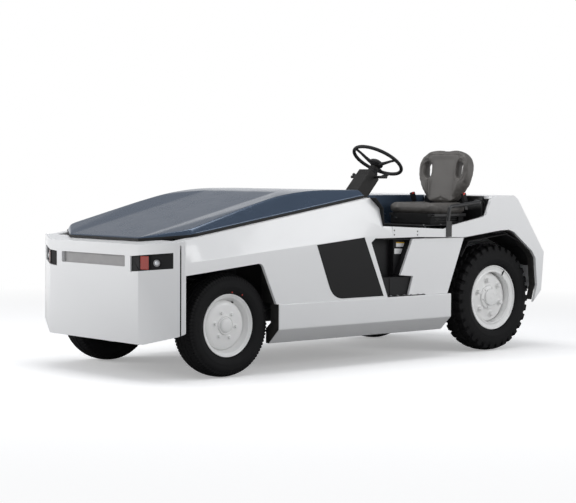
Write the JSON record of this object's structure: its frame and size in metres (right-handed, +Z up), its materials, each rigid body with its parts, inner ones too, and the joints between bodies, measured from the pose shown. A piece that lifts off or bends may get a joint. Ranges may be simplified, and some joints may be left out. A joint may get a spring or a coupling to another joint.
{
  "type": "electric airport baggage tug",
  "caption": "Low electric tow tractor with a long rising hood, open footwell, one driver's seat on the left, steered front wheels and a rear pin hitch.",
  "frame": {"origin": "on the ground under the middle of the vehicle", "axes": "+X towards the nose, +Y to the driver's left, +Z up"},
  "size_m": [3.32, 1.41, 1.3533],
  "materials": {
    "white_paint": "gloss white enamel",
    "slate_paint": "dark slate metallic enamel",
    "black_paint": "black enamel",
    "rim_paint": "silver-grey enamel",
    "tyre": "black carcass",
    "seal_rubber": "matte black",
    "black_plastic": "fine grained black",
    "grey_panel": "satin grey",
    "turn_lens": "orange-red lens",
    "clear_lens": "clear lens",
    "tail_lens": "red lens",
    "vinyl": "dark grey vinyl",
    "battery_case": "dark grey case",
    "bare_steel": "machined steel",
    "axle_iron": "black painted casting"
  },
  "bodies": {
    "body": {"battery": "battery_case", "beam_covers": "white_paint", "chassis": "black_paint", "column_cover": "black_plastic", "dash": "black_plastic", "drive_motor": "axle_iron", "floor_pan": "black_paint", "front_axle": "axle_iron", "front_liners": "black_plastic", "grille_panel": "grey_panel", "hip_guard": "black_paint", "hitch": "black_paint", "lamp_housings": "black_plastic", "leaf_springs": "axle_iron", "marker_lamps": "clear_lens", "nose_panel": "white_paint", "pedals": "seal_rubber", "quarter_panels": "white_paint", "rear_axle": "axle_iron", "rear_fender_left": "white_paint", "rear_fender_right": "white_paint", "rear_liners": "black_plastic", "rockers": "white_paint", "seat_back": "vinyl", "seat_base": "black_paint", "seat_cushion": "vinyl", "seat_suspension": "black_plastic", "side_deck": "slate_paint", "side_panel_left": "white_paint", "side_panel_right": "white_paint", "tail_lamps": "tail_lens", "tail_panel": "white_paint", "turn_lenses": "turn_lens"},
    "hood": {"hood": "slate_paint", "hood_seal": "seal_rubber"},
    "steering_wheel": {"steering_wheel": "black_plastic"},
    "knuckle_left": {"knuckle_left": "axle_iron"},
    "knuckle_right": {"knuckle_right": "axle_iron"},
    "tie_rod": {"tie_rod": "bare_steel"},
    "hitch_pin": {"hitch_pin": "bare_steel"},
    "wheel_front_left": {"rim_front_left": "rim_paint", "tyre_front_left": "tyre"},
    "wheel_front_right": {"rim_front_right": "rim_paint", "tyre_front_right": "tyre"},
    "wheel_rear_left": {"rim_rear_left": "rim_paint", "tyre_rear_left": "tyre"},
    "wheel_rear_right": {"rim_rear_right": "rim_paint", "tyre_rear_right": "tyre"}
  },
  "joints": [
    {"name": "hood_hinge", "type": "hinge", "parent": "body", "child": "hood", "pos_m": [0.048, 0, 1.03], "axis": [0, -1, 0], "range_deg": [0, 48]},
    {"name": "steer_left", "type": "hinge", "parent": "body", "child": "knuckle_left", "pos_m": [1.158, 0.48, 0.299], "axis": [0, 0, 1], "range_deg": [-38, 38]},
    {"name": "steer_right", "type": "hinge", "parent": "body", "child": "knuckle_right", "pos_m": [1.158, -0.48, 0.299], "axis": [0, 0, 1], "range_deg": [-38, 38]},
    {"name": "tie_rod_pivot", "type": "hinge", "parent": "knuckle_left", "child": "tie_rod", "pos_m": [1.058, 0.48, 0.24], "axis": [0, 0, 1], "range_deg": [-38, 38]},
    {"name": "steering_wheel_turn", "type": "hinge", "parent": "body", "child": "steering_wheel", "pos_m": [-0.275, 0.38, 1.256], "axis": [-0.5299, 0, 0.848], "range_deg": [-456, 456]},
    {"name": "hitch_pin_lift", "type": "slide", "parent": "body", "child": "hitch_pin", "axis": [0, 0, 1], "range_m": [0, 0.2]},
    {"name": "roll_front_left", "type": "hinge", "parent": "knuckle_left", "child": "wheel_front_left", "pos_m": [1.158, 0.559, 0.299], "axis": [0, 1, 0], "continuous": true},
    {"name": "roll_rear_left", "type": "hinge", "parent": "body", "child": "wheel_rear_left", "pos_m": [-1.142, 0.531, 0.354], "axis": [0, 1, 0], "continuous": true},
    {"name": "roll_front_right", "type": "hinge", "parent": "knuckle_right", "child": "wheel_front_right", "pos_m": [1.158, -0.559, 0.299], "axis": [0, 1, 0], "continuous": true},
    {"name": "roll_rear_right", "type": "hinge", "parent": "body", "child": "wheel_rear_right", "pos_m": [-1.142, -0.531, 0.354], "axis": [0, 1, 0], "continuous": true}
  ],
  "couplings": [
    {"joint": "steer_right", "follows": "steer_left", "ratio": 1},
    {"joint": "tie_rod_pivot", "follows": "steer_left", "ratio": -1},
    {"joint": "steering_wheel_turn", "follows": "steer_left", "ratio": 12}
  ]
}
